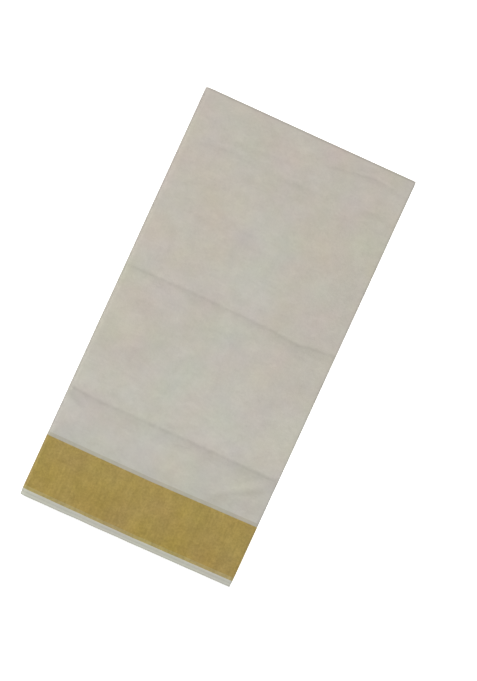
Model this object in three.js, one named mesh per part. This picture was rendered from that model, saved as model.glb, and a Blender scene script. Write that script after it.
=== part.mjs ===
// A folded cotton saree with a gold border, lying flat. Sizes in millimetres.
//
// One woven length is folded in half across its width, so that both selvedges with their
// gold borders meet at -Y and the long fold is at +Y. It is then folded along its length
// into eighteen panels of two plies. X runs across the pack: the spine at -X is one whole
// fold over all the layers, and at +X the layers end in three lobes, one on another.
// Y runs along the pack, Z is up, and the origin is at the middle of the underside.
//
// The outermost double ply is a wall that runs from the groove under the top lobe, over the
// top face, round the spine, under the pack and round the bottom lobe. The layers inside
// share one rounded solid that is stepped at its edges. Both are parted into the field, the
// gold border and the plain selvedge, the three stretches that show on each face.
import * as THREE from 'three';

// ---- driving sizes -------------------------------------------------------------------
const WIDTH = 305.6;            // one panel, an eighteenth of the woven length
const LENGTH = 596;             // half of the woven width, from the long fold to the selvedge
const PANELS = 18;              // panels of two plies on each other
const HEIGHT = 15;              // all the panels, pressed
const PLY_STEP = HEIGHT / PANELS;
const WIDER_AT_FOLD = 0.23;     // each side lies this much further out at the long fold
const WALL = 1;                 // two plies and the air between them
const GAP = 0.3;                // between pieces that touch
const HOOK = 20;                // how far the wall is tucked into the grooves between lobes
const SPINE_REACH = 9;          // how far the rounded spine reaches inwards

// The three lobes at +X, from the ground up: how many panels each holds, how far its
// nose is rounded and how far it is set back from the widest one.
const LOBES = {
  bottom: { panels: 9, reach: 4.5, setBack: 0 },
  middle: { panels: 3, reach: 1.2, setBack: 2 },
  top: { panels: 6, reach: 3.2, setBack: 0 },
};

// Lines that run across the pack: their place at the left side, the middle and the right.
const FOLD_EDGE = { left: LENGTH / 2, middle: LENGTH / 2, right: LENGTH / 2 };
const CREASE_C = { left: 229, middle: 229, right: 229 };
const CREASE_A = { left: 42, middle: 41.5, right: 42 };
const CREASE_B = { left: -136.5, middle: -138.5, right: -139 };
const GOLD_HEAD = { left: -210.7, middle: -210.7, right: -207.5 };
const GOLD_FOOT = { left: -288.6, middle: -288.6, right: -286.4 };
const SELVEDGE = { left: -LENGTH / 2, middle: -296.6, right: -294.3 };

const LIP = 0.6;                // length of the rounded lip of the wall at the long fold
const PLY_SHOWS = 4.9;          // the under ply shows this much past the upper selvedge
const LAYERS_TAPER = 5.4;       // the hidden layers are set back within this much of it
const CORNER = 1.5;             // rounding of the two corners at the long fold, in plan

// A crease is a ridge where the pack was once folded over: its rise beside the line. It
// climbs gently from the long fold's side and drops steeply towards the selvedge.
const RIDGE = [
  { away: 90, rise: 0 },
  { away: 55, rise: 0.27 },
  { away: 30, rise: 0.67 },
  { away: 10, rise: 0.95 },
  { away: 0, rise: 1 },
  { away: -4, rise: 0.6 },
  { away: -11, rise: 0.19 },
  { away: -22, rise: 0 },
];
const FAINT_RIDGE = [
  { away: 14, rise: 0 },
  { away: 0, rise: 1 },
  { away: -14, rise: 0 },
];
const RISE_A = 1;
const RISE_B = 1.7;
const RISE_C = 0.5;

// The hidden panels from the ground up, one row each: how far each is set back from the
// outermost ply at the long fold and at the selvedge. Those in a groove carry on from a hook
// of the wall.
const BOTTOM_LAYERS = [
  { foldBack: 1.2, selvedgeBack: 3.4 },
  { foldBack: 2.3, selvedgeBack: 1.6 },
  { foldBack: 1.5, selvedgeBack: 2.7 },
  { foldBack: 2.9, selvedgeBack: 2.1 },
  { foldBack: 1.1, selvedgeBack: 3.0 },
  { foldBack: 2.0, selvedgeBack: 1.3 },
  { foldBack: 1.4, selvedgeBack: 2.4 },
];
const LOWER_GROOVE_LAYERS = [
  { foldBack: 2.2, selvedgeBack: 3.9 },
];
const MIDDLE_LAYERS = [
  { foldBack: 0.9, selvedgeBack: 2.0 },
  { foldBack: 2.6, selvedgeBack: 3.1 },
  { foldBack: 1.3, selvedgeBack: 1.5 },
];
const UPPER_GROOVE_LAYERS = [
  { foldBack: 2.8, selvedgeBack: 3.5 },
];
const TOP_LAYERS = [
  { foldBack: 1.6, selvedgeBack: 2.2 },
  { foldBack: 2.4, selvedgeBack: 3.2 },
  { foldBack: 1.2, selvedgeBack: 1.9 },
  { foldBack: 1.9, selvedgeBack: 4.2 },
];
const CREVICE = 0.12;           // height of the step where a lobe meets a groove
const SHOULDER = 0.3;           // share of a panel's height that its rounding takes
const END_ROUND = 0.7;          // how deep the crevices between the panels are at the ends

// Places across the pack where its top has points, so that it can follow the lines' bends.
const COLUMNS = [-100, -50, 0, 50, 100];
const SPINE_STEPS = 8;
const NOSE_STEPS = 5;

const HALF = WIDTH / 2;
const TOP_LOBE_FOOT = HEIGHT - LOBES.top.panels * PLY_STEP;
const BOTTOM_LOBE_HEAD = LOBES.bottom.panels * PLY_STEP;

// ---- colours -------------------------------------------------------------------------
const cloth = (color, roughness, metalness) =>
  new THREE.MeshStandardMaterial({ color, roughness, metalness });
const FINISH = {
  field: cloth(0xbeb9af, 0.85, 0),
  border: cloth(0xa28d50, 0.5, 0.35),
  selvedge: cloth(0xbebdad, 0.85, 0),
};

// ---- lines and stations along the pack -------------------------------------------------
const yOn = (line, x) => (x < 0
  ? line.middle + (line.left - line.middle) * (-x / HALF)
  : line.middle + (line.right - line.middle) * (x / HALF));

const moved = (line, by) => ({
  left: line.left + by, middle: line.middle + by, right: line.right + by });

const between = (a, b, share) => ({
  left: a.left + (b.left - a.left) * share,
  middle: a.middle + (b.middle - a.middle) * share,
  right: a.right + (b.right - a.right) * share,
});

// A station is one section of the pack: its line, the rise of the top face there, how far
// the sides are drawn in, and how much of the wall's outer and inner half is there.
const station = (line, more = {}) => ({
  line, rise: 0, drawnIn: 0, outerHalf: 1, innerHalf: 1, ...more });

const ridgeAt = (line, height, shape) => shape.map(({ away, rise }) =>
  station(moved(line, away), { rise: rise * height }));

const FIELD_STATIONS = [
  station(FOLD_EDGE, { drawnIn: CORNER, outerHalf: 0.3, innerHalf: 0.3 }),
  station(moved(FOLD_EDGE, -0.4 * LIP), { drawnIn: 0.6 * CORNER, outerHalf: 0.75, innerHalf: 0.75 }),
  station(moved(FOLD_EDGE, -LIP), { drawnIn: 0.45 * CORNER }),
  station(moved(FOLD_EDGE, -2 * CORNER)),
  ...ridgeAt(CREASE_C, RISE_C, FAINT_RIDGE),
  ...ridgeAt(CREASE_A, RISE_A, RIDGE),
  ...ridgeAt(CREASE_B, RISE_B, RIDGE),
  station(moved(GOLD_HEAD, GAP / 2)),
];
const BORDER_STATIONS = [
  station(moved(GOLD_HEAD, -GAP / 2)),
  station(between(GOLD_HEAD, GOLD_FOOT, 0.5)),
  station(moved(GOLD_FOOT, GAP / 2)),
];
const SELVEDGE_STATIONS = [
  station(moved(GOLD_FOOT, -GAP / 2)),
  station(moved(SELVEDGE, PLY_SHOWS + CREVICE)),
  station(moved(SELVEDGE, PLY_SHOWS), { outerHalf: -0.2 }),
  station(SELVEDGE, { outerHalf: -0.2 }),
];

// ---- placing points ----------------------------------------------------------------------
// A point of the pressed, straight pack goes to its place: drawn in towards the middle,
// onto its station's line, and up with the rise of the layers there.
const placed = (at, x, z, back = 0) => {
  const drawn = x - Math.sign(x) * at.drawnIn;
  const y = yOn(at.line, x) + back;
  return [drawn * (1 + WIDER_AT_FOLD / HALF * y / (LENGTH / 2)), y, z * (1 + at.rise / HEIGHT)];
};

const solid = (name, finish, points, faces) => {
  const geometry = new THREE.BufferGeometry();
  geometry.setAttribute('position', new THREE.Float32BufferAttribute(points.flat(), 3));
  geometry.setIndex(faces.flat());
  geometry.computeVertexNormals();
  const mesh = new THREE.Mesh(geometry, finish);
  mesh.name = name;
  return mesh;
};

const quad = (a, b, c, d) => [a, b, c, a, c, d];

// ---- the wall: the outermost double ply ---------------------------------------------------
const arc = (x, z, reach, height, from, to, steps) =>
  Array.from({ length: steps + 1 }, (_, i) => {
    const turn = THREE.MathUtils.degToRad(from + (to - from) * i / steps);
    return [x + reach * Math.cos(turn), z + height * Math.sin(turn)];
  });

// The line of the wall's surface, a depth inwards from its outside, from the groove under
// the top lobe, anticlockwise seen from the selvedge, to the groove over the bottom lobe.
const wallLine = (depth) => {
  const { top, bottom } = LOBES;
  const topMiddle = (HEIGHT + TOP_LOBE_FOOT) / 2;
  const bottomMiddle = BOTTOM_LOBE_HEAD / 2;
  return [
    [HALF - HOOK, TOP_LOBE_FOOT + depth],
    ...arc(HALF - top.reach, topMiddle, top.reach - depth,
      HEIGHT - topMiddle - depth, -90, 90, NOSE_STEPS),
    ...[...COLUMNS].reverse().map((x) => [x, HEIGHT - depth]),
    ...arc(SPINE_REACH - HALF, HEIGHT / 2, SPINE_REACH - depth,
      HEIGHT / 2 - depth, 90, 270, SPINE_STEPS),
    ...COLUMNS.map((x) => [x, depth]),
    ...arc(HALF - bottom.reach, bottomMiddle, bottom.reach - depth,
      bottomMiddle - depth, -90, 90, NOSE_STEPS),
    [HALF - HOOK, BOTTOM_LOBE_HEAD - depth],
  ];
};

const wallOf = (name, finish, stations) => {
  const points = [];
  const faces = [];
  const count = wallLine(0).length;
  stations.forEach((at) => {
    const outer = wallLine(WALL / 2 * (1 - at.outerHalf));
    const inner = wallLine(WALL / 2 * (1 + at.innerHalf)).reverse();
    [...outer, ...inner].forEach(([x, z]) => points.push(placed(at, x, z)));
  });
  const ring = 2 * count;
  for (let s = 0; s + 1 < stations.length; s += 1) {
    for (let i = 0; i < ring; i += 1) {
      const next = (i + 1) % ring;
      const here = s * ring;
      faces.push(quad(here + i, here + next, here + ring + next, here + ring + i));
    }
  }
  const last = (stations.length - 1) * ring;
  for (let i = 0; i + 1 < count; i += 1) {
    const across = ring - 1 - i;
    faces.push(quad(i, across, across - 1, i + 1));
    faces.push(quad(last + i, last + i + 1, last + across - 1, last + across));
  }
  return solid(name, finish, points, faces);
};

// ---- the hidden layers ----------------------------------------------------------------------
const LINING = WALL + GAP;      // the layers lie this far inside the wall's outside

// Half the length of an ellipse's chord at a height over its middle.
const chord = (reach, height, over) =>
  reach * Math.sqrt(Math.max(0, 1 - (over / height) ** 2));

const leftSide = (z) => SPINE_REACH - HALF
  - chord(SPINE_REACH - LINING, HEIGHT / 2 - LINING, z - HEIGHT / 2);

const rightSide = (side, z) => {
  const { top, middle, bottom } = LOBES;
  if (side === 'groove') return HALF - HOOK - LINING;
  if (side === 'bottom') {
    const half = BOTTOM_LOBE_HEAD / 2;
    return HALF - bottom.reach + chord(bottom.reach - LINING, half - LINING, z - half);
  }
  if (side === 'middle') {
    const half = (TOP_LOBE_FOOT - BOTTOM_LOBE_HEAD) / 2;
    return HALF - middle.setBack - middle.reach
      + chord(middle.reach, half - GAP, z - BOTTOM_LOBE_HEAD - half);
  }
  const half = (HEIGHT - TOP_LOBE_FOOT) / 2;
  return HALF - top.reach + chord(top.reach - LINING, half - LINING, z - TOP_LOBE_FOOT - half);
};

// The hidden stretches from the ground up: the side they end in, their foot and their head.
const STRETCHES = [
  { side: 'bottom', layers: BOTTOM_LAYERS, foot: LINING, head: BOTTOM_LOBE_HEAD - LINING },
  { side: 'groove', layers: LOWER_GROOVE_LAYERS,
    foot: BOTTOM_LOBE_HEAD - LINING, head: BOTTOM_LOBE_HEAD + GAP },
  { side: 'middle', layers: MIDDLE_LAYERS,
    foot: BOTTOM_LOBE_HEAD + GAP, head: TOP_LOBE_FOOT - GAP },
  { side: 'groove', layers: UPPER_GROOVE_LAYERS,
    foot: TOP_LOBE_FOOT - GAP, head: TOP_LOBE_FOOT + LINING },
  { side: 'top', layers: TOP_LAYERS, foot: TOP_LOBE_FOOT + LINING, head: HEIGHT - LINING },
];

// Every panel has a ring in the crevice at its foot and two at its full size. A stretch ends
// with a ring just under the next one's foot, which lies a crevice higher.
const layerRings = () => {
  const rings = [];
  STRETCHES.forEach(({ side, layers, foot, head }, which) => {
    const lowest = which === 0 ? foot : foot + CREVICE / 2;
    const highest = which === STRETCHES.length - 1 ? head : head - CREVICE / 2;
    const step = (highest - lowest) / layers.length;
    const ring = (z, layer, round) => rings.push({
      z,
      left: leftSide(z),
      right: rightSide(side, z),
      foldBack: layer.foldBack + END_ROUND * round,
      selvedgeBack: layer.selvedgeBack + END_ROUND * round,
    });
    layers.forEach((layer, i) => {
      ring(lowest + step * i, layer, 1);
      ring(lowest + step * (i + SHOULDER), layer, 0);
      ring(lowest + step * (i + 1 - SHOULDER), layer, 0);
    });
    ring(highest, layers[layers.length - 1], 1);
  });
  return rings;
};

// One solid from rings in plan, one over another, closed by a grid below and above.
const layersOf = (name, finish, stations, ends) => {
  const rings = layerRings();
  const points = [];
  const faces = [];
  const seen = new Map();
  const lastStation = stations.length - 1;
  const lastColumn = COLUMNS.length + 1;
  const point = (k, s, c) => {
    const key = `${k} ${s} ${c}`;
    if (!seen.has(key)) {
      const ring = rings[k];
      const x = [ring.left, ...COLUMNS, ring.right][c];
      const foldBack = s === 0 && ends.atFold ? -ring.foldBack : 0;
      const selvedgeBack = s === lastStation && ends.atSelvedge ? ring.selvedgeBack : 0;
      seen.set(key, points.length);
      points.push(placed(stations[s], x, ring.z, foldBack + selvedgeBack));
    }
    return seen.get(key);
  };
  const round = [];
  for (let s = lastStation; s > 0; s -= 1) round.push([s, lastColumn]);
  for (let c = lastColumn; c > 0; c -= 1) round.push([0, c]);
  for (let s = 0; s < lastStation; s += 1) round.push([s, 0]);
  for (let c = 0; c < lastColumn; c += 1) round.push([lastStation, c]);
  for (let k = 0; k + 1 < rings.length; k += 1) {
    round.forEach(([s, c], i) => {
      const [nextS, nextC] = round[(i + 1) % round.length];
      faces.push(quad(point(k, s, c), point(k, nextS, nextC),
        point(k + 1, nextS, nextC), point(k + 1, s, c)));
    });
  }
  const head = rings.length - 1;
  for (let s = 0; s < lastStation; s += 1) {
    for (let c = 0; c < lastColumn; c += 1) {
      faces.push(quad(point(0, s, c), point(0, s, c + 1), point(0, s + 1, c + 1), point(0, s + 1, c)));
      faces.push(quad(point(head, s, c), point(head, s + 1, c),
        point(head, s + 1, c + 1), point(head, s, c + 1)));
    }
  }
  return solid(name, finish, points, faces);
};

// The layers' stations at an end give up the lip and the step that only the wall has.
const FIELD_LAYERS = FIELD_STATIONS.filter((_, i) => i !== 1 && i !== 2);
const SELVEDGE_LAYERS = [
  SELVEDGE_STATIONS[0],
  station(moved(SELVEDGE, LAYERS_TAPER)),
  SELVEDGE_STATIONS[3],
];

const group = new THREE.Group();
group.add(
  wallOf('outer_field', FINISH.field, FIELD_STATIONS),
  wallOf('outer_border', FINISH.border, BORDER_STATIONS),
  wallOf('outer_selvedge', FINISH.selvedge, SELVEDGE_STATIONS),
  layersOf('inner_field', FINISH.field, FIELD_LAYERS, { atFold: true }),
  layersOf('inner_border', FINISH.border, BORDER_STATIONS, {}),
  layersOf('inner_selvedge', FINISH.selvedge, SELVEDGE_LAYERS, { atSelvedge: true }),
);

export default group;
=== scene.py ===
"""A cotton saree with a gold border, folded into a flat pack that lies on its back face.

The woven length is folded in half across its width and then into eighteen panels. Every ply
is a grid in the cloth's own cut (along, across) that a fold function takes to its place, so
the plies keep their real length. Lengths are in metres.
"""

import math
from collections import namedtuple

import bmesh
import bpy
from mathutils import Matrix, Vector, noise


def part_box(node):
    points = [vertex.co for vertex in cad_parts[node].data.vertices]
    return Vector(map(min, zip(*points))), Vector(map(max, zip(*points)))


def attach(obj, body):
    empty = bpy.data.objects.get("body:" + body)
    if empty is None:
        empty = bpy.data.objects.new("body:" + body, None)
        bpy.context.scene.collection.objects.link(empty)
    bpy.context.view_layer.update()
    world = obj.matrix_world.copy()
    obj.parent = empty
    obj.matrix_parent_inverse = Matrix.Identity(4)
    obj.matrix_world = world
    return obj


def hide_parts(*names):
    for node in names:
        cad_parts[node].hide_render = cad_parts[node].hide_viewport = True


bl_info = {
    "name": "Folded saree",
    "version": (1, 0, 0),
    "blender": (4, 5, 0),
    "location": "View3D > Sidebar > Saree",
    "description": "A cotton saree with a gold border, folded into a flat pack",
    "category": "Object",
}

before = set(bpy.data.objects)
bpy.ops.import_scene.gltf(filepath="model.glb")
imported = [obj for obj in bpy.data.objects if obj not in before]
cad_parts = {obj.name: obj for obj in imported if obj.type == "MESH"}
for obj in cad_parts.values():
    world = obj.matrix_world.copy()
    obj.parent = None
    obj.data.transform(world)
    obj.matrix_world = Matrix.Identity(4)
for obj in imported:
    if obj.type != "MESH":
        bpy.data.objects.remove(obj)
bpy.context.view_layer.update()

MM = 0.001


def mm(*points):
    """Points that are written in millimetres, in metres."""
    return tuple(tuple(value * MM for value in point) for point in points)


# ---- the fold -----------------------------------------------------------------------------
# The level that each panel lies at, from one end of the woven length to the other, counted
# from the ground. Even panels are laid towards the spine at -X and odd ones away from it.
LEVELS = (10, 7, 1, 16, 13, 4, 5, 12, 17, 0, 8, 9, 11, 6, 2, 15, 14, 3)
TOP_LEVEL = len(LEVELS) - 1
TOP_PANEL = LEVELS.index(TOP_LEVEL)

# The lobes at +X, from the ground up: their levels, how far the nose is rounded and how far
# it is set back from the widest one.
Lobe = namedtuple("Lobe", "lowest highest reach set_back")
LOBES = (
    Lobe(lowest=0, highest=8, reach=4.5 * MM, set_back=0.0),
    Lobe(lowest=9, highest=11, reach=1.2 * MM, set_back=2.0 * MM),
    Lobe(lowest=12, highest=17, reach=3.2 * MM, set_back=0.0),
)
FIRST_END_TUCKED = 14 * MM      # how far inside the middle lobe the woven length starts
LAST_END_TUCKED = 22 * MM       # and inside the bottom lobe it ends

# Lines of the weave across the pack: their place along it at the left side, in the middle
# and at the right side. The selvedge is the under ply's, which shows past the upper one's.
Line = namedtuple("Line", "left middle right")
SELVEDGE = Line(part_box("outer_selvedge")[0][1], -296.6 * MM, -294.3 * MM)
GOLD_FOOT = Line(-288.9 * MM, -288.7 * MM, -285.7 * MM)
GOLD_HEAD = Line(-210.9 * MM, -210.5 * MM, -207.0 * MM)
LONG_FOLD = Line(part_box("outer_field")[1][1], 298.1 * MM, 298.5 * MM)
LINES = (SELVEDGE, GOLD_FOOT, GOLD_HEAD, LONG_FOLD)

# A pressed fold that was opened again. Its crest runs from the left side to the right
# through places (across, along) with a rise at each. It climbs gently from the long fold's
# side and drops steeply, then more and more gently, towards the selvedge.
Ridge = namedtuple("Ridge", "climb drop bend crest")
RIDGES = (
    Ridge(climb=50 * MM, drop=19 * MM, bend=2.6, crest=mm(
        (-153, 42.0, 0.90), (-60, 43.2, 0.85), (30, 42.2, 0.85), (62, 41.5, 0.65),
        (80, 40.0, 0.95), (102, 37.5, 1.10), (114, 41.0, 0.85), (153, 45.5, 1.05))),
    Ridge(climb=45 * MM, drop=24 * MM, bend=2.2, crest=mm(
        (-153, -136.5, 2.20), (-128, -138.0, 1.90), (-110, -139.0, 1.40), (-30, -138.5, 1.30),
        (40, -138.0, 1.45), (60, -138.0, 1.90), (82, -138.5, 2.20), (120, -138.0, 2.25),
        (153, -138.5, 2.20))),
)
CREST_ROUND = 1.4 * MM          # how softly a crest is rounded
HOLLOW_SHARE = 0.35             # how much of a ridge's rise shows as a hollow underneath
BORDER_SINKS = 0.6 * MM         # how much lower the pack is at the border
BORDER_EASE = 28 * MM           # and over what distance above it
PLY_GAP = 0.09 * MM             # the air between two flat plies, where the border sinks
CREST_VARIES = 0.25             # how unevenly a crest rises, as a share
CREST_PACE = (22, 9)            # and how fast, across and along
RIDGE_PAINTED_SHADE = 0.5             # how dark the painted shade line beside a crest is
RIDGE_LINE_FROM = 3.3 * MM      # how far from the crest, towards the selvedge
RIDGE_LINE_WIDTH = 1.8 * MM     # and how wide it is
RIDGE_NEAR = 8 * MM             # rows are closest together as near as this to a crest
RIDGE_NEAR_EASE = 24 * MM       # and as wide apart as elsewhere from this much further on

# Fine unevenness of the two outermost faces: the size of its small and its broad bumps
# (across, along), how high each rises and how much the broad ones are lifted.
SMALL_BUMPS, SMALL_RISE = (14 * MM, 17 * MM), 0.20 * MM
BROAD_BUMPS, BROAD_RISE, BROAD_LIFT = (34 * MM, 44 * MM), 0.30 * MM, 0.3
TOP_SEED, UNDER_SEED, BROAD_SEED = 0, 9, 5
SWELL_SIZE, SWELL_RISE, SWELL_SEED = (0.11, 0.13), 0.22 * MM, 3

# How far the hidden panels are set back, in millimetres: on average, by how much that varies
# from level to level, how fast and from what phase.
Varying = namedtuple("Varying", "mean swing pace phase")
BACK_AT_FOLD = Varying(1.9, 0.9, 2.3, 0.4)
BACK_AT_SELVEDGE = Varying(2.0, 0.7, 1.7, 1)
RAGGED_PACE, RAGGED_SHARE = (45, 3.1), 0.35     # how ragged their edges are
WAVER_PACE, WAVER_POWER = (11, 90, 6), 6        # how the sides wander, at the sides alone
UPPER_EDGE_RESTS = 0.22         # how much of its height over the under ply the edge loses
UPPER_EDGE_EASE = 12 * MM       # and over what distance
SELVEDGE_RAGGED = 0.25 * MM     # how far the selvedge wanders
FACE_FADE = 8 * MM              # where a face's unevenness fades out towards its edges
# The outermost ply's edges turn away from the light, and their shade is painted on.
# How dark the painted shade is along an edge, where 1 is a firm crease's, and how far inwards.
FOLD_PAINTED_SHADE = (2.5, 4.0 * MM)
SPINE_PAINTED_SHADE = (2.6, 4.2 * MM)
LOBES_PAINTED_SHADE = (1.1, 2.9 * MM)
SELVEDGE_PAINTED_SHADE = (1.9, 2.1 * MM)
# The upper ply's edge casts a painted shadow onto the under ply beside it.
STEP_PAINTED_SHADOW = (0.8, 1.3 * MM)
# Painted shade where the field slopes away from the light towards the gold.
BESIDE_GOLD_PAINTED_SHADE = (0.27, 30 * MM)

# Soft wrinkles in the uppermost ply: rise at the middle, half width, how dark its line's
# painted shade is and the places (across, along) of its crest. Each dies away at both of its
# ends.
Wrinkle = namedtuple("Wrinkle", "rise width pressed crest")
WRINKLE_REACH = 2.6             # in half widths, where a wrinkle ends
ENDS_FADE = 0.6                 # how suddenly its two ends die away
SHADE_LINE_NARROWER = 1.5          # how much narrower its painted shade line is
WRINKLES = (
    Wrinkle(0.16 * MM, 2.2 * MM, 0.7, mm((14, 266), (50, 270.5), (78, 275), (100, 278.5),
                                         (125, 276.5), (158, 270))),
    Wrinkle(0.16 * MM, 3.6 * MM, 0.2, mm((-110, 245), (-85, 247), (-55, 247), (-28, 251),
                                         (6, 254))),
    Wrinkle(0.16 * MM, 3.6 * MM, 0.2, mm((-158, 253), (-140, 253), (-122, 251))),
    Wrinkle(0.28 * MM, 4.2 * MM, 0.2, mm((-146, 226), (-112, 230), (-82, 234), (-62, 231),
                                         (-42, 225))),
    Wrinkle(0.24 * MM, 4.2 * MM, 0.35, mm((-50, 229), (-4, 229.5), (24, 230), (60, 230))),
    Wrinkle(0.24 * MM, 3.8 * MM, 0.4, mm((84, 231), (104, 234), (122, 236), (156, 230))),
    Wrinkle(0.95 * MM, 6.6 * MM, 0.3, mm((74, -199), (102, -179), (127, -163), (156, -145))),
    Wrinkle(0.30 * MM, 5.0 * MM, 0.3, mm((96, -192), (124, -182), (158, -178))),
    Wrinkle(0.50 * MM, 5.0 * MM, 0.4, mm((-158, -143), (-138, -149), (-122, -160))),
    Wrinkle(0.24 * MM, 4.4 * MM, 0.2, mm((8, -196), (18, -184), (30, -170), (42, -160))),
    Wrinkle(0.14 * MM, 5.0 * MM, 0.2, mm((22, 192), (30, 150), (24, 108), (32, 60),
                                         (30, 48))),
    Wrinkle(0.12 * MM, 5.0 * MM, 0.2, mm((26, 30), (20, -30), (24, -76), (30, -122))),
    Wrinkle(0.30 * MM, 7.0 * MM, 0.4, mm((-126, 122), (-112, 100), (-104, 74))),
    Wrinkle(0.22 * MM, 6.0 * MM, 0.2, mm((-86, 150), (-90, 124), (-82, 92))),
    Wrinkle(0.25 * MM, 7.0 * MM, 0.2, mm((140, 196), (134, 150), (140, 96), (136, 60))),
    Wrinkle(0.18 * MM, 6.0 * MM, 0.1, mm((48, 196), (54, 160), (66, 120), (62, 84))),
    Wrinkle(0.18 * MM, 6.0 * MM, 0.1, mm((-60, -10), (-40, -60), (-52, -112))),
    Wrinkle(0.16 * MM, 6.0 * MM, 0.1, mm((-100, 20), (-92, -40), (-98, -100))),
    Wrinkle(0.22 * MM, 6.0 * MM, 0.3, mm((-134, -188), (-120, -198), (-104, -204))),
    Wrinkle(0.20 * MM, 6.0 * MM, 0.1, mm((96, -20), (104, -60), (98, -104))),
)

# How finely the cloth is modelled: steps along a straight panel and round a turn, and the
# distance between rows, plain and beside the ridges.
Fineness = namedtuple("Fineness", "straight turn row ridge_row")
TOP_FACE = Fineness(straight=92, turn=12, row=2.2 * MM, ridge_row=1.4 * MM)
UNDER_FACE = Fineness(straight=16, turn=12, row=2.2 * MM, ridge_row=1.4 * MM)
HIDDEN = Fineness(straight=12, turn=8, row=12 * MM, ridge_row=3.5 * MM)
SELVEDGE_ROW = 0.8 * MM
HOOK_STEPS = 3
LIP_STEPS = 5
SHARP = math.radians(50)        # edges that turn by more than this are drawn as sharp


def level_z(level, sizes):
    """Height of the middle of a panel's two plies."""
    return (level + 0.5) * sizes.pack_height / len(LEVELS)


def lip_radius(sizes):
    """Radius of the outside of the long fold, where two plies turn into each other."""
    return sizes.pack_height / len(LEVELS) / 4 + sizes.ply_thickness / 2


def line_at(line, x, sizes):
    """Place along the pack of a line, at x across it."""
    share = x / (sizes.panel_width / 2)
    side = line.left if share < 0 else line.right
    return line.middle + (side - line.middle) * abs(share)


def skewed(y, x, sizes):
    """A place along the middle of the pack, followed across it between the weave's lines."""
    for low, high in zip(LINES, LINES[1:]):
        if y <= high.middle:
            break
    share = (y - low.middle) / (high.middle - low.middle)
    low_y, high_y = line_at(low, x, sizes), line_at(high, x, sizes)
    return low_y + (high_y - low_y) * share


def eased(share):
    """A share from 0 to 1 that starts and stops gently."""
    share = min(max(share, 0.0), 1.0)
    return share * share * (3 - 2 * share)


# A stop on the way along the woven length: its place in the section of the pack, the
# direction that its outward ply faces, the length of cloth so far, its level, how far the
# cloth is set back there at the long fold and at the selvedge, and whether it is outermost.
Stop = namedtuple("Stop", "x z face_x face_z along level fold_back selvedge_back outermost")


def turn_after(panel, sizes):
    """The turn from one panel into the next: its side, centre, reach and two heights."""
    low, high = sorted(LEVELS[panel:panel + 2])
    pitch = sizes.pack_height / len(LEVELS)
    half = sizes.panel_width / 2
    if panel % 2 == 0:
        side, centre, full = -1, sizes.spine_reach - half, sizes.spine_reach
        span = TOP_LEVEL
    else:
        lobe = next(each for each in LOBES if each.lowest <= low <= each.highest)
        side, centre, full = 1, half - lobe.set_back - lobe.reach, lobe.reach
        span = lobe.highest - lobe.lowest
    reach = (full - pitch / 2) * (high - low) / span
    from_z, to_z = (level_z(level, sizes) for level in LEVELS[panel:panel + 2])
    return side, centre, reach, from_z, to_z


def set_back(level):
    """How far a hidden panel is set back at the long fold and at the selvedge."""
    return [(each.mean + each.swing * math.sin(each.pace * level + each.phase)) * MM
            for each in (BACK_AT_FOLD, BACK_AT_SELVEDGE)]


def route(first, last, start, end, straight_steps, turn_steps, sizes, outermost=False):
    """The stops of the panels from first to last, between two places across the pack."""
    stops, along = [], 0.0

    def stop(x, z, heading, level, backs):
        nonlocal along
        if stops:
            along += math.hypot(x - stops[-1].x, z - stops[-1].z)
        size = math.hypot(*heading)
        face_x, face_z = heading[1] / size, -heading[0] / size
        stops.append(Stop(x, z, face_x, face_z, along, level, *backs, outermost))

    def backs_at(panel, share):
        """How far a panel is set back, as the outermost ply is at its hooked ends alone."""
        hidden = {first: 1 - share, last: share}.get(panel, 0.0) if outermost else 1.0
        return [back * eased(hidden) for back in set_back(LEVELS[panel])]

    for panel in range(first, last + 1):
        level, z = LEVELS[panel], level_z(LEVELS[panel], sizes)
        begin = start if panel == first else turn_after(panel - 1, sizes)[1]
        finish = end if panel == last else turn_after(panel, sizes)[1]
        way = -1 if panel % 2 == 0 else 1
        steps = straight_steps(panel)
        for i in range(steps):
            stop(begin + (finish - begin) * i / steps, z, (way, 0), level,
                 backs_at(panel, i / steps))
        if panel == last:
            stop(finish, z, (way, 0), level, backs_at(panel, 1))
            break
        side, centre, reach, from_z, to_z = turn_after(panel, sizes)
        for i in range(turn_steps):
            angle = math.pi * i / turn_steps
            share = (1 - math.cos(angle)) / 2
            heading = (side * reach * math.cos(angle), (to_z - from_z) / 2 * math.sin(angle))
            backs = [a + (b - a) * share for a, b in
                     zip(backs_at(panel, 1), backs_at(panel + 1, 0))]
            stop(centre + side * reach * math.sin(angle), from_z + (to_z - from_z) * share,
                 heading, level + (LEVELS[panel + 1] - level) * share, backs)
    return stops


# ---- the form of the faces ----------------------------------------------------------------
def on_crest(crest, x):
    """Place along the pack and rise of a ridge's crest, at x across it."""
    for left, right in zip(crest, crest[1:]):
        if x <= right[0]:
            break
    share = min(max((x - left[0]) / (right[0] - left[0]), 0.0), 1.0)
    return [a + (b - a) * share for a, b in zip(left[1:], right[1:])]


def arch(x, y):
    """Rise of the pack at its opened folds, and the shade that is painted beside their crests.
    """
    rise, pressed = 0.0, 0.0
    for ridge in RIDGES:
        crest_y, crest_rise = on_crest(ridge.crest, x)
        varied = noise.noise(Vector((x * CREST_PACE[0], crest_y * CREST_PACE[1], 0)))
        crest_rise *= 1 + CREST_VARIES * varied
        away = y - crest_y
        if away > 0:
            rise += crest_rise * math.exp(-(away / ridge.climb) ** 2)
        elif away > -ridge.drop:
            down = math.hypot(away, CREST_ROUND) - CREST_ROUND
            rise += crest_rise * (1 - down / ridge.drop) ** ridge.bend
        # Painted shade on the crest's steep flank, which turns away from the light.
        from_line = (away + RIDGE_LINE_FROM) / RIDGE_LINE_WIDTH
        pressed += RIDGE_PAINTED_SHADE * math.exp(-from_line ** 2)
    return rise, pressed


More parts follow.
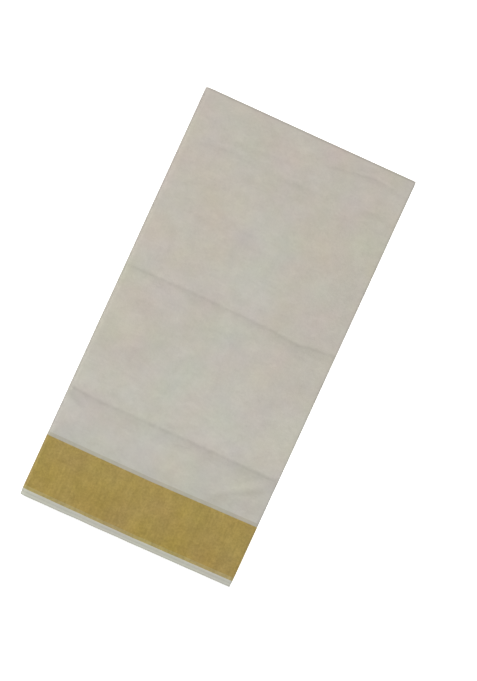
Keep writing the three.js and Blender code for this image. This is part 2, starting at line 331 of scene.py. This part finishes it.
def wrinkled(x, y):
    """Rise of the uppermost ply over the plies below, and the shade that is painted along its
    wrinkles.
    """
    rise, pressed = 0.0, 0.0
    for wrinkle in WRINKLES:
        reach, crest = WRINKLE_REACH * wrinkle.width, wrinkle.crest
        if not min(point[0] for point in crest) - reach < x < crest[-1][0] + reach:
            continue
        lengths = [math.dist(a, b) for a, b in zip(crest, crest[1:])]
        whole, so_far, best = sum(lengths), 0.0, 0.0
        for (ax, ay), (bx, by), length in zip(crest, crest[1:], lengths):
            dx, dy = (bx - ax) / length, (by - ay) / length
            t = min(max((x - ax) * dx + (y - ay) * dy, 0.0), length)
            away = math.hypot(x - ax - t * dx, y - ay - t * dy)
            if away < reach:
                along = min(max((so_far + t) / whole, 0.01), 0.99)
                fade = math.sin(math.pi * along) ** ENDS_FADE
                best = max(best, fade * math.exp(-(away / wrinkle.width) ** 2))
            so_far += length
        rise += wrinkle.rise * best
        # Painted shade along each wrinkle's line, where its flank turns from the light.
        pressed = max(pressed, wrinkle.pressed * best ** SHADE_LINE_NARROWER)
    return rise, pressed


def crumple(x, y, seed):
    """Fine unevenness of a face, which dips by no more than the air under a flat ply."""
    small = noise.noise(Vector((x / SMALL_BUMPS[0], y / SMALL_BUMPS[1], seed)))
    broad = noise.noise(Vector((x / BROAD_BUMPS[0], y / BROAD_BUMPS[1], seed + BROAD_SEED)))
    return max(-PLY_GAP, SMALL_RISE * small + BROAD_RISE * (broad + BROAD_LIFT))


def swell(x, y):
    """Unevenness of the pack's height, from its many plies, which pack flatter in gold."""
    uneven = SWELL_RISE * noise.noise(Vector((x / SWELL_SIZE[0], y / SWELL_SIZE[1],
                                              SWELL_SEED)))
    return uneven - BORDER_SINKS * (1 - eased((y - GOLD_HEAD.middle) / BORDER_EASE))


# ---- grids in the cloth's cut -------------------------------------------------------------
# A row across the woven width: its place along the middle of the pack, the side of the double
# ply that it is on, 1 on the outward ply and -1 on the inward one, and its place in the cut.
Row = namedtuple("Row", "y side cut")


def row_places(low, high, fineness):
    """Places between two rows, closer together beside the ridges."""
    places, y = [], low
    while not places or y < high - fineness.ridge_row / 2:
        places.append(y)
        near = min(abs(y - on_crest(ridge.crest, 0)[0]) for ridge in RIDGES)
        y += fineness.ridge_row + (fineness.row - fineness.ridge_row) * eased(
            (near - RIDGE_NEAR) / RIDGE_NEAR_EASE)
    return places + [high]


def zone_strips(zone, fineness, sizes):
    """The strips of rows of one zone: the field goes round the long fold in one strip."""
    lip = lip_radius(sizes)
    selvedge, foot, head = (line.middle for line in LINES[:3])
    fold = LONG_FOLD.middle - lip
    edge = selvedge + sizes.ply_peeps
    woven = fold - edge + math.pi * lip + fold - selvedge
    if zone == "field":
        outward = [Row(y, 1, y - edge) for y in row_places(head, fold, fineness)]
        turned = [math.pi * i / LIP_STEPS for i in range(1, LIP_STEPS)]
        round_lip = [Row(fold + lip * math.sin(a), math.cos(a), fold - edge + lip * a)
                     for a in turned]
        inward = [Row(y, -1, woven - (y - selvedge))
                  for y in reversed(row_places(head, fold, HIDDEN))]
        return [outward + round_lip + inward]
    border = zone == "border"
    outer_low, inner_low, high = (foot, foot, head) if border else (edge, selvedge, foot)
    row = SELVEDGE_ROW if zone == "selvedge" else fineness.row
    even = fineness._replace(row=row, ridge_row=row)
    return [[Row(y, 1, y - edge) for y in row_places(outer_low, high, even)],
            [Row(y, -1, woven - (y - selvedge))
             for y in reversed(row_places(inner_low, high, even))]]


def corner_inset(to_fold, sizes):
    """How far the sides are drawn in so near the long fold, for its two rounded corners."""
    left = min(max(sizes.corner - to_fold, 0.0), sizes.corner)
    return sizes.corner - math.sqrt(max(0.0, sizes.corner ** 2 - left ** 2))


def placed(stop, row, sizes):
    """The outward surface of the cloth at a stop and a row, and the shade that is painted on it
    there.
    """
    side = row.side
    edge = SELVEDGE.middle + sizes.ply_peeps
    if side > 0:
        side -= UPPER_EDGE_RESTS * eased(1 - (row.y - edge) / UPPER_EDGE_EASE)
    x = stop.x + stop.face_x * side * lip_radius(sizes)
    z = stop.z + stop.face_z * side * lip_radius(sizes)
    half = sizes.panel_width / 2

    y = skewed(row.y, x, sizes)
    ragged = noise.noise(Vector((x * RAGGED_PACE[0], stop.level * RAGGED_PACE[1], 0)))
    at_fold = max(0.0, 1 - (LONG_FOLD.middle - row.y) / sizes.set_back_fade) ** 2
    at_selvedge = max(0.0, 1 - (row.y - SELVEDGE.middle) / sizes.set_back_fade) ** 2
    uneven = 1 + RAGGED_SHARE * ragged
    y -= at_fold * stop.fold_back * uneven
    y += at_selvedge * (stop.selvedge_back * uneven + SELVEDGE_RAGGED * ragged)

    to_fold = line_at(LONG_FOLD, x, sizes) - y
    x -= math.copysign(corner_inset(to_fold, sizes), x)
    x *= 1 + sizes.wider_at_fold * y / (LONG_FOLD.middle * half)
    waver = noise.noise(Vector([value * pace for value, pace in zip((y, z, x), WAVER_PACE)]))
    x += sizes.side_waver * waver * abs(x / half) ** WAVER_POWER

    rise, pressed = arch(x, y)
    share = z / sizes.pack_height
    z += rise * (share + HOLLOW_SHARE * (1 - share)) + swell(x, y) * share
    if stop.outermost and row.side > 0:
        fade = eased(to_fold / FACE_FADE) * eased((row.y - edge) / FACE_FADE)
        if stop.level > TOP_LEVEL / 2 and stop.face_z > 0:
            lift, line = wrinkled(x, y)
            z += (lift + crumple(x, y, TOP_SEED) * fade) * stop.face_z
            # The uppermost ply takes the painted shade of its wrinkles.
            pressed = max(pressed, line * stop.face_z)
        elif stop.level < TOP_LEVEL / 2 and stop.face_z < 0:
            z += min(max(0.0, crumple(x, y, UNDER_SEED)), PLY_GAP) * fade * -stop.face_z
    # Painted shade along the edges of the outermost ply, where they turn away from the light.
    edges = [(SPINE_PAINTED_SHADE if x < 0 else LOBES_PAINTED_SHADE, half - abs(x)),
             (FOLD_PAINTED_SHADE, to_fold), (SELVEDGE_PAINTED_SHADE, row.y - SELVEDGE.middle)]
    # A painted shadow of the upper ply's edge on the under ply.
    if row.side < 0:
        edges.append((STEP_PAINTED_SHADOW, abs(row.y - edge)))
    # Painted shade where the field slopes away from the light towards the gold.
    if row.y >= GOLD_HEAD.middle:
        edges.append((BESIDE_GOLD_PAINTED_SHADE, row.y - GOLD_HEAD.middle))
    for (edge_shade, reach), away in edges if stop.outermost else ():
        pressed = max(pressed, edge_shade * eased(1 - away / reach))
    return Vector((x, y, z)), pressed


def folded_cloth(strips, stops, sizes):
    """Cloth from strips of rows, each a grid that is folded and then given its thickness."""
    cloth = bmesh.new()
    for rows in strips:
        strip = bmesh.new()
        cut = strip.loops.layers.uv.new("cut")
        painted_shade_layer = strip.verts.layers.float.new("pressed")
        columns, lines = len(stops) - 1, len(rows) - 1
        bmesh.ops.create_grid(strip, x_segments=columns, y_segments=lines, size=1.0)
        place = {vert: (stops[round((vert.co.x + 1) / 2 * columns)],
                        rows[round((vert.co.y + 1) / 2 * lines)]) for vert in strip.verts}
        for face in strip.faces:
            face.smooth = True
            for loop in face.loops:
                stop, row = place[loop.vert]
                loop[cut].uv = (stop.along, row.cut)
        for vert, (stop, row) in place.items():
            vert.co, vert[painted_shade_layer] = placed(stop, row, sizes)
        bmesh.ops.reverse_faces(strip, faces=strip.faces[:])
        strip.normal_update()
        shell = bmesh.ops.extrude_face_region(strip, geom=strip.faces[:], use_keep_orig=True)
        for part in shell["geom"]:
            if isinstance(part, bmesh.types.BMVert):
                part.co -= part.normal * sizes.ply_thickness
        if strip.calc_volume(signed=True) < 0:
            bmesh.ops.reverse_faces(strip, faces=strip.faces[:])
        for edge in strip.edges:
            if len(edge.link_faces) == 2 and edge.calc_face_angle(0) > SHARP:
                edge.smooth = False
        join(cloth, strip)
    return cloth


def join(cloth, other):
    """Moves the faces of one bmesh into another."""
    carrier = bpy.data.meshes.new("carrier")
    other.to_mesh(carrier)
    other.free()
    cloth.from_mesh(carrier)
    bpy.data.meshes.remove(carrier)


def finished(name, mesh):
    """A bmesh as an object at the origin."""
    data = bpy.data.meshes.new(name)
    mesh.to_mesh(data)
    mesh.free()
    piece = bpy.data.objects.new(name, data)
    bpy.context.scene.collection.objects.link(piece)
    return piece


ZONES = ("field", "border", "selvedge")


def dressed(piece, solid, material):
    """Gives a piece its finish and its place in the frame, and hides the solid that it stands
    for.
    """
    piece.data.materials.append(material)
    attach(piece, "root")
    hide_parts(solid)


# ---- finishes -----------------------------------------------------------------------------
def linked(tree, value, socket):
    """Feeds a socket from another socket, or sets it to a number or a colour."""
    if isinstance(value, bpy.types.NodeSocket):
        tree.links.new(value, socket)
    elif value is not None:
        socket.default_value = value


def node(tree, kind, inputs=(), **settings):
    """A shader node with its settings, and its inputs as pairs of a name and a value."""
    made = tree.nodes.new(kind)
    for key, value in settings.items():
        setattr(made, key, value)
    for key, value in inputs:
        linked(tree, value, made.inputs[key])
    return made


def reckon(tree, operation, first, second=None):
    """The result of a Math node."""
    inputs = [(0, first)] + ([] if second is None else [(1, second)])
    return node(tree, "ShaderNodeMath", inputs, operation=operation).outputs[0]


def between(tree, value, low, high, from_low=0.0, from_high=1.0):
    """A value brought from one range to another, and past its ends alike."""
    return node(tree, "ShaderNodeMapRange", [
        ("Value", value), ("From Min", from_low), ("From Max", from_high),
        ("To Min", low), ("To Max", high)], clamp=False).outputs[0]


def blended(tree, share, first, second, **settings):
    """A colour between two, or two that are put together in another way."""
    mix = node(tree, "ShaderNodeMix", [(0, share)], data_type="RGBA", **settings)
    linked(tree, first, mix.inputs[6])
    linked(tree, second, mix.inputs[7])
    return mix.outputs[2]


def multiplied(tree, colour, factor):
    """A colour times a value or another colour."""
    return blended(tree, 1.0, colour, factor, blend_type="MULTIPLY")


def toned(tree, colour, value, low, high):
    """A colour made darker or lighter by a value, where 0 gives low and 1 gives high."""
    return multiplied(tree, colour, between(tree, value, low, high))


def noise_at(tree, place, stretch):
    """Noise at a place, with so many features for each metre along each direction."""
    mapping = node(tree, "ShaderNodeMapping", [("Vector", place), ("Scale", stretch)])
    return node(tree, "ShaderNodeTexNoise", [
        ("Vector", mapping.outputs[0]), ("Scale", 1.0), ("Detail", 2.0),
        ("Roughness", 0.55)]).outputs[0]


def soft_noise(tree, given):
    """Soft noise inside an effect, with as many features for each metre as it is given."""
    return node(tree, "ShaderNodeTexNoise", [
        ("Vector", given["Place"]), ("Scale", given["Per metre"]), ("Detail", 2.0),
        ("Roughness", 0.5)]).outputs


def effect(name, inputs, outputs, puts_out="NodeSocketFloat"):
    """A shader node group: its tree, the sockets it is given and the ones it puts out."""
    tree = bpy.data.node_groups.new(name, "ShaderNodeTree")
    for label, kind, default in inputs:
        socket = tree.interface.new_socket(name=label, in_out="INPUT", socket_type=kind)
        if default is not None:
            socket.default_value = default
    for label in outputs:
        tree.interface.new_socket(name=label, in_out="OUTPUT", socket_type=puts_out)
    given = tree.nodes.new("NodeGroupInput").outputs
    return tree, given, tree.nodes.new("NodeGroupOutput").inputs


def weave_effect():
    """A plain weave: rounded threads over and under each other, with thick places."""
    tree, given, result = effect("Plain weave", [
        ("Cut", "NodeSocketVector", None), ("Warp per metre", "NodeSocketFloat", 2600.0),
        ("Weft per metre", "NodeSocketFloat", 2400.0), ("Slub", "NodeSocketFloat", 0.5)],
        ["Height", "Slubs"])
    split = node(tree, "ShaderNodeSeparateXYZ", [(0, given["Cut"])])
    warp = reckon(tree, "MULTIPLY", split.outputs[1], given["Warp per metre"])
    weft = reckon(tree, "MULTIPLY", split.outputs[0], given["Weft per metre"])
    cells = reckon(tree, "ADD", reckon(tree, "FLOOR", warp), reckon(tree, "FLOOR", weft))
    over = reckon(tree, "MODULO", reckon(tree, "ABSOLUTE", cells), 2.0)
    crowns = [reckon(tree, "ABSOLUTE", reckon(tree, "SINE", reckon(
        tree, "MULTIPLY", thread, math.pi))) for thread in (warp, weft)]
    top = node(tree, "ShaderNodeMix", [(0, over), (2, crowns[0]), (3, crowns[1])])
    warp_slubs = noise_at(tree, given["Cut"], (16.0, 900.0, 1.0))
    weft_slubs = noise_at(tree, given["Cut"], (900.0, 16.0, 1.0))
    slubs = reckon(tree, "MULTIPLY", reckon(tree, "ADD", warp_slubs, weft_slubs), 0.5)
    thick = reckon(tree, "MULTIPLY", slubs, given["Slub"])
    linked(tree, reckon(tree, "ADD", top.outputs[0], thick), result["Height"])
    linked(tree, between(tree, slubs, 0.0, 1.0, 0.35, 0.65), result["Slubs"])
    return tree


def mottle_effect():
    """Soft cloudy unevenness of one size."""
    tree, given, result = effect("Soft mottle", [
        ("Place", "NodeSocketVector", None), ("Per metre", "NodeSocketFloat", 12.0)], ["Tone"])
    clouds = soft_noise(tree, given)[0]
    linked(tree, between(tree, clouds, 0.0, 1.0, 0.3, 0.7), result["Tone"])
    return tree


def cloud_effect():
    """Ageing in clouds, which gives way to the plain colour at one end and in the middle."""
    tree, given, result = effect("Ageing clouds", [
        ("Place", "NodeSocketVector", None), ("Per metre", "NodeSocketFloat", 9.0),
        ("Turn at", "NodeSocketFloat", 0.0), ("Steepness", "NodeSocketFloat", 2.0),
        ("Middle", "NodeSocketFloat", 0.0), ("Middle reach", "NodeSocketFloat", 0.03)],
        ["Share"])
    clouds = soft_noise(tree, given)[0]
    across, along, _ = node(tree, "ShaderNodeSeparateXYZ", [(0, given["Place"])]).outputs
    past = reckon(tree, "SUBTRACT", given["Turn at"], along)
    slope = reckon(tree, "MULTIPLY", past, given["Steepness"])
    aside = reckon(tree, "SUBTRACT", across, given["Middle"])
    reaches = reckon(tree, "DIVIDE", aside, given["Middle reach"])
    beyond = reckon(tree, "MULTIPLY", reckon(tree, "MULTIPLY", reaches, reaches), -1.0)
    fresh = reckon(tree, "ADD", slope, reckon(tree, "EXPONENT", beyond))
    cloudy = between(tree, clouds, -0.5, 1.5)
    linked(tree, reckon(tree, "ADD", fresh, cloudy), result["Share"])
    return tree


def tint_effect():
    """Faint patches of warmer and cooler colour."""
    tree, given, result = effect("Faint tints", [
        ("Place", "NodeSocketVector", None), ("Per metre", "NodeSocketFloat", 19.0),
        ("Strength", "NodeSocketVector", None)], ["Tint"], "NodeSocketColor")
    patches = soft_noise(tree, given)["Color"]
    centred = node(tree, "ShaderNodeVectorMath", [
        (0, patches), (1, (0.5, 0.5, 0.5))], operation="SUBTRACT").outputs[0]
    linked(tree, node(tree, "ShaderNodeVectorMath", [
        (0, centred), (1, given["Strength"]), (2, (1.0, 1.0, 1.0))],
        operation="MULTIPLY_ADD").outputs[0], result["Tint"])
    return tree


def streak_effect():
    """Streaks across the woven length, where it was squeezed over the edges of other plies."""
    tree, given, result = effect("Cross streaks", [("Cut", "NodeSocketVector", None)], ["Tone"])
    wide = noise_at(tree, given["Cut"], (48.0, 7.0, 1.0))
    thin = noise_at(tree, given["Cut"], (210.0, 22.0, 1.0))
    both = reckon(tree, "ADD", reckon(tree, "MULTIPLY", wide, 0.4),
                  reckon(tree, "MULTIPLY", thin, 0.6))
    linked(tree, between(tree, both, 0.0, 1.0, 0.32, 0.68), result["Tone"])
    return tree


def stripe_effect():
    """A stripe along each long side of the cloth, between two distances from the edge."""
    tree, given, result = effect("Edge stripe", [
        ("Cut", "NodeSocketVector", None), ("From", "NodeSocketFloat", 0.004),
        ("To", "NodeSocketFloat", 0.008), ("Woven width", "NodeSocketFloat", 1.19)], ["Mask"])
    split = node(tree, "ShaderNodeSeparateXYZ", [(0, given["Cut"])])
    far = reckon(tree, "SUBTRACT", given["Woven width"], split.outputs[1])
    edge = reckon(tree, "MINIMUM", split.outputs[1], far)
    inside = reckon(tree, "MULTIPLY", reckon(tree, "GREATER_THAN", edge, given["From"]),
                    reckon(tree, "LESS_THAN", edge, given["To"]))
    linked(tree, inside, result["Mask"])
    return tree


# A finish: its colour and the colour that it ages to, threads for each metre of cut, how
# strong its slubs, threads, crumple, mottle, grain, streaks and tints are (the last for red,
# green and blue), and how it shines.
Finish = namedtuple("Finish", "colour aged warp weft slub thread crumple mottle grain "
                              "streak tint roughness metallic sheen")


# A stripe along the cloth: where it starts and ends from the cloth's edge, the woven width
# and its colour.
Stripe = namedtuple("Stripe", "start end woven colour")

AGED_FROM, AGED_STEEPNESS = -0.06, 4.0      # where along the pack the cloth is aged
FRESH_MIDDLE, FRESH_REACH = 0.012, 0.042    # and where across it, which it isn't
# How many features of each kind there are for a metre of the pack.
CLOUDS, TINTS, PATCHES, FOLDS, GRAIN = 9.0, 19.0, 42.0, 95.0, 330.0
SLUB_TONES = (0.985, 1.015)     # how bright the thin and the thick threads are
PAINTED_SHADE_TONES = (1.0, 0.89)     # and the cloth without and with the fullest painted shade
ROUGHNESS_VARIES = 0.05
SHEEN_ROUGHNESS, SPECULAR = 0.5, 0.3
BUMP_DEPTH = 0.2 * MM


def cloth_material(name, finish, effects, stripe=None):
    """Woven cloth: cloudy tone, slubs, painted shade lines, rounded threads and soft sheen."""
    material = bpy.data.materials.new(name)
    material.use_nodes = True
    tree = material.node_tree
    shader = tree.nodes["Principled BSDF"]
    cut = node(tree, "ShaderNodeUVMap", uv_map="cut").outputs[0]
    place = node(tree, "ShaderNodeTexCoord").outputs["Object"]
    # The painted shade at creases, edges and steps, carried by the mesh.
    pressed = node(tree, "ShaderNodeAttribute", attribute_name="pressed").outputs["Fac"]

    def grouped(key, *inputs):
        made = node(tree, "ShaderNodeGroup", node_tree=effects[key])
        for label, value in inputs:
            linked(tree, value, made.inputs[label])
        return made.outputs

    weave = grouped("weave", ("Cut", cut), ("Warp per metre", finish.warp),
                    ("Weft per metre", finish.weft), ("Slub", finish.slub))
    clouds = grouped("clouds", ("Place", place), ("Per metre", CLOUDS), ("Turn at", AGED_FROM),
                     ("Steepness", AGED_STEEPNESS), ("Middle", FRESH_MIDDLE),
                     ("Middle reach", FRESH_REACH))["Share"]
    tint = grouped("tint", ("Place", place), ("Per metre", TINTS),
                   ("Strength", finish.tint))["Tint"]
    patches = grouped("mottle", ("Place", place), ("Per metre", PATCHES))["Tone"]
    grain = grouped("mottle", ("Place", place), ("Per metre", GRAIN))["Tone"]
    folds = grouped("mottle", ("Place", place), ("Per metre", FOLDS))["Tone"]
    streaks = grouped("streaks", ("Cut", cut))["Tone"]

    tone = blended(tree, clouds, (*finish.aged, 1.0), (*finish.colour, 1.0))
    if stripe:
        mask = grouped("stripe", ("Cut", cut), ("From", stripe.start), ("To", stripe.end),
                       ("Woven width", stripe.woven))["Mask"]
        tone = blended(tree, mask, tone, (*stripe.colour, 1.0))
    for unevenness in (patches, folds):
        tone = toned(tree, tone, unevenness, 1 - finish.mottle, 1 + finish.mottle)
    tone = multiplied(tree, tone, tint)
    tone = toned(tree, tone, streaks, 1 - finish.streak, 1 + finish.streak)
    tone = toned(tree, tone, grain, 1 - finish.grain, 1 + finish.grain)
    tone = toned(tree, tone, weave["Slubs"], *SLUB_TONES)
    # Painted shade: darker at creases, edges and steps, where shade falls.
    tone = toned(tree, tone, pressed, *PAINTED_SHADE_TONES)
    linked(tree, tone, shader.inputs["Base Color"])

    rough = between(tree, weave["Height"], finish.roughness + ROUGHNESS_VARIES,
                    finish.roughness - ROUGHNESS_VARIES)
    linked(tree, rough, shader.inputs["Roughness"])
    for label, value in (("Metallic", finish.metallic), ("Sheen Weight", finish.sheen),
                         ("Sheen Roughness", SHEEN_ROUGHNESS),
                         ("Specular IOR Level", SPECULAR)):
        shader.inputs[label].default_value = value

    crumpled = node(tree, "ShaderNodeBump", [
        ("Height", folds), ("Strength", finish.crumple), ("Distance", BUMP_DEPTH)])
    threads = node(tree, "ShaderNodeBump", [
        ("Height", weave["Height"]), ("Strength", finish.thread), ("Distance", BUMP_DEPTH),
        ("Normal", crumpled.outputs[0])])
    linked(tree, threads.outputs[0], shader.inputs["Normal"])
    return material


def finishes(sizes, colours):
    """The finish of each zone, made once."""
    if "Saree field" in bpy.data.materials:
        return {zone: bpy.data.materials[f"Saree {zone}"] for zone in ZONES}
    effects = {"weave": weave_effect(), "mottle": mottle_effect(), "clouds": cloud_effect(),
               "tint": tint_effect(), "streaks": streak_effect(), "stripe": stripe_effect()}
    field, gold, edge = Vector(colours.field), Vector(colours.gold), Vector(colours.selvedge)
    aged = Vector(colours.aged)
    narrow, wide = (zone_strips(zone, HIDDEN, sizes)[0] for zone in ("selvedge", "field"))
    woven = wide[0].cut + wide[-1].cut
    head = Stripe(start=wide[0].cut, end=wide[0].cut + sizes.head_stripe, woven=woven,
                  colour=Vector(colours.head))
    foot = Stripe(start=narrow[-1].cut, end=narrow[-1].cut + sizes.foot_stripe, woven=woven,
                  colour=Vector(colours.foot))
    cloth_material("Saree field", Finish(
        colour=field, aged=field * aged, warp=2600.0, weft=2400.0, slub=0.5, thread=0.35,
        crumple=1.1, mottle=0.022, grain=0.02, streak=0.006, tint=(0.12, 0.12, 0.18),
        roughness=0.85, metallic=0.0, sheen=0.12), effects, head)
    # The gold's strong grain is partly the zari's own speckle and partly painted glints of its
    # metal thread.
    cloth_material("Saree border", Finish(
        colour=gold, aged=gold * aged, warp=3200.0, weft=2200.0, slub=0.8, thread=0.5,
        crumple=1.1, mottle=0.038, grain=0.085, streak=0.085, tint=(0.12, 0.10, 0.70),
        roughness=0.48, metallic=0.35, sheen=0.0), effects, foot)
    cloth_material("Saree selvedge", Finish(
        colour=edge, aged=edge * aged, warp=3400.0, weft=2400.0, slub=0.4, thread=0.4,
        crumple=0.6, mottle=0.015, grain=0.012, streak=0.004, tint=(0.08, 0.08, 0.10),
        roughness=0.85, metallic=0.0, sheen=0.1), effects)
    return {zone: bpy.data.materials[f"Saree {zone}"] for zone in ZONES}


# ---- sizes and colours a user would change ------------------------------------------------
def length(name, description, default):
    return bpy.props.FloatProperty(name=name, description=description, default=default,
                                   min=0.0, precision=5, unit="LENGTH")


def colour(name, description, default):
    return bpy.props.FloatVectorProperty(name=name, description=description, default=default,
                                         size=3, min=0.0, max=1.0, subtype="COLOR")


class SareeSizes(bpy.types.PropertyGroup):
    panel_width: length("Panel width", "Width of a folded panel, across the pack", 0.3070)
    pack_height: length("Pack height", "Height of all the pressed panels", 0.015)
    ply_thickness: length("Ply", "Thickness of one ply of cloth", 0.00030)
    spine_reach: length("Spine", "How far the rounded spine reaches inwards", 0.009)
    hook: length("Hook", "How far the outermost ply is tucked in between the lobes", 0.020)
    wider_at_fold: length("Wider", "How much further out the sides lie at the long fold",
                          0.00023)
    corner: length("Corner", "Radius of the two corners at the long fold", 0.0015)
    ply_peeps: length("Under ply", "How far the under ply shows past the upper one", 0.0049)
    foot_stripe: length("Foot stripe", "Width of the paler stripe at the gold's foot", 0.0047)
    head_stripe: length("Head stripe", "Width of the darker stripe above the gold", 0.0049)
    side_waver: length("Waver", "How far the sides wander from straight", 0.00022)
    set_back_fade: length("Fade", "Length over which hidden panels are set back", 0.045)


class SareeColours(bpy.types.PropertyGroup):
    field: colour("Field", "Off-white cotton of the field", (0.515, 0.497, 0.439))
    aged: colour("Aged", "Tint of the cloudy places", (1.0, 0.961, 0.946))
    gold: colour("Gold", "Gold thread of the border", (0.4225, 0.3058, 0.0871))
    foot: colour("Foot", "Paler stripe at the gold's foot", (0.460, 0.369, 0.146))
    head: colour("Head", "Darker stripe above the gold", (0.440, 0.414, 0.341))
    selvedge: colour("Selvedge", "Off-white cotton of the firm edge", (0.531, 0.531, 0.455))
    floor: colour("Floor", "Pale floor that the pack lies on", (0.90, 0.90, 0.90))


# ---- operators ----------------------------------------------------------------------------
class SAREE_OT_outer_ply(bpy.types.Operator):
    """Fold the outermost double ply round the pack"""
    bl_idname = "saree.outer_ply"
    bl_label = "Outermost ply"

    def execute(self, context):
        sizes, colours = context.scene.saree_sizes, context.scene.saree_colours
        tuck = sizes.panel_width / 2 - sizes.hook
        steps = {TOP_PANEL: TOP_FACE.straight, TOP_PANEL + 1: UNDER_FACE.straight}
        stops = route(TOP_PANEL - 1, TOP_PANEL + 2, tuck, tuck,
                      lambda panel: steps.get(panel, HOOK_STEPS), TOP_FACE.turn, sizes, True)
        looks = finishes(sizes, colours)
        for zone in ZONES:
            strips = zone_strips(zone, TOP_FACE, sizes)
            piece = finished(f"cover_{zone}", folded_cloth(strips, stops, sizes))
            dressed(piece, f"outer_{zone}", looks[zone])
        return {"FINISHED"}


class SAREE_OT_hidden_plies(bpy.types.Operator):
    """Fold the plies inside, which show at the edges"""
    bl_idname = "saree.hidden_plies"
    bl_label = "Hidden plies"

    def execute(self, context):
        sizes, colours = context.scene.saree_sizes, context.scene.saree_colours
        half = sizes.panel_width / 2
        tuck = half - sizes.hook
        looks = finishes(sizes, colours)
        ends = ((0, TOP_PANEL - 1, half - FIRST_END_TUCKED, tuck),
                (TOP_PANEL + 2, len(LEVELS) - 1, tuck, half - LAST_END_TUCKED))
        runs = [route(*each, lambda panel: HIDDEN.straight, HIDDEN.turn, sizes)
                for each in ends]
        for zone in ZONES:
            strips = zone_strips(zone, HIDDEN, sizes)
            cloth = bmesh.new()
            for stops in runs:
                join(cloth, folded_cloth(strips, stops, sizes))
            piece = finished(f"layers_{zone}", cloth)
            dressed(piece, f"inner_{zone}", looks[zone])
        return {"FINISHED"}


VIEW_LONG_SIDE = 0.9048         # what the long side of the view takes in, at the pack's top
VIEW_CENTRE = (26.8 * MM, 8.5 * MM)
VIEW_TURN = math.radians(24.67)
LENS, SENSOR = 85.0, 36.0       # in millimetres
SUN_FROM = Vector((-0.15, 0.98, 0.90))
SUN_STRENGTH, SUN_SOFTNESS = 2.72, math.radians(32)
WINDOW_AT, WINDOW_SIZE, WINDOW_POWER = Vector((-0.85, 0.0, 1.1)), 0.7, 3.0
ROOM_LIGHT = 0.33
FLOOR_GLOW, FLOOR_ROUGHNESS, FLOOR_SIZE = 0.75, 0.9, 6.0
WHITE = (1.0, 1.0, 1.0, 1.0)


class SAREE_OT_stage(bpy.types.Operator):
    """Set a pale floor, soft lights and a camera straight above"""
    bl_idname = "saree.stage"
    bl_label = "Stage"

    def execute(self, context):
        scene = context.scene
        self.floor(scene)
        self.room(scene)
        self.light(scene, "Sun", SUN_FROM, energy=SUN_STRENGTH, angle=SUN_SOFTNESS)
        self.light(scene, "Window", WINDOW_AT, kind="AREA", energy=WINDOW_POWER,
                   size=WINDOW_SIZE)
        self.camera(scene)
        scene.view_settings.view_transform = "Standard"
        return {"FINISHED"}

    def floor(self, scene):
        mesh = bmesh.new()
        bmesh.ops.create_grid(mesh, x_segments=8, y_segments=8, size=FLOOR_SIZE)
        floor = finished("floor", mesh)
        material = bpy.data.materials.new("Pale floor")
        material.use_nodes = True
        shader = material.node_tree.nodes["Principled BSDF"]
        shader.inputs["Base Color"].default_value = (*scene.saree_colours.floor, 1.0)
        shader.inputs["Roughness"].default_value = FLOOR_ROUGHNESS
        shader.inputs["Emission Color"].default_value = WHITE
        shader.inputs["Emission Strength"].default_value = FLOOR_GLOW
        floor.data.materials.append(material)

    def room(self, scene):
        world = bpy.data.worlds.new("Soft room")
        world.use_nodes = True
        tree = world.node_tree
        back = tree.nodes["Background"]
        back.inputs["Color"].default_value = WHITE
        seen = node(tree, "ShaderNodeLightPath").outputs["Is Camera Ray"]
        linked(tree, between(tree, seen, ROOM_LIGHT, 1.0), back.inputs["Strength"])
        scene.world = world

    def light(self, scene, name, place, kind="SUN", **settings):
        """A lamp that is aimed at the pack."""
        data = bpy.data.lights.new(name, kind)
        for key, value in settings.items():
            setattr(data, key, value)
        lamp = bpy.data.objects.new(name, data)
        lamp.location = place
        lamp.rotation_euler = (-place).to_track_quat("-Z", "Y").to_euler()
        scene.collection.objects.link(lamp)

    def camera(self, scene):
        data = bpy.data.cameras.new("Camera")
        data.lens, data.sensor_width = LENS, SENSOR
        away = VIEW_LONG_SIDE * LENS / SENSOR
        camera = bpy.data.objects.new("Camera", data)
        camera.location = (*VIEW_CENTRE, scene.saree_sizes.pack_height + away)
        camera.rotation_euler = (0, 0, VIEW_TURN)
        scene.collection.objects.link(camera)
        scene.camera = camera


OPERATORS = (SAREE_OT_outer_ply, SAREE_OT_hidden_plies, SAREE_OT_stage)


class SAREE_PT_panel(bpy.types.Panel):
    bl_label = "Saree"
    bl_idname = "SAREE_PT_panel"
    bl_space_type = "VIEW_3D"
    bl_region_type = "UI"
    bl_category = "Saree"

    def draw(self, context):
        for settings in (context.scene.saree_sizes, context.scene.saree_colours):
            for name in settings.__annotations__:
                self.layout.prop(settings, name)
        for operator in OPERATORS:
            self.layout.operator(operator.bl_idname)


CLASSES = (SareeSizes, SareeColours, *OPERATORS, SAREE_PT_panel)


def register():
    for each in CLASSES:
        bpy.utils.register_class(each)
    bpy.types.Scene.saree_sizes = bpy.props.PointerProperty(type=SareeSizes)
    bpy.types.Scene.saree_colours = bpy.props.PointerProperty(type=SareeColours)


def unregister():
    del bpy.types.Scene.saree_colours
    del bpy.types.Scene.saree_sizes
    for each in reversed(CLASSES):
        bpy.utils.unregister_class(each)


def main():
    """Builds the saree and its stage."""
    register()
    bpy.ops.saree.outer_ply()
    bpy.ops.saree.hidden_plies()
    bpy.ops.saree.stage()


if __name__ == "__main__":
    main()
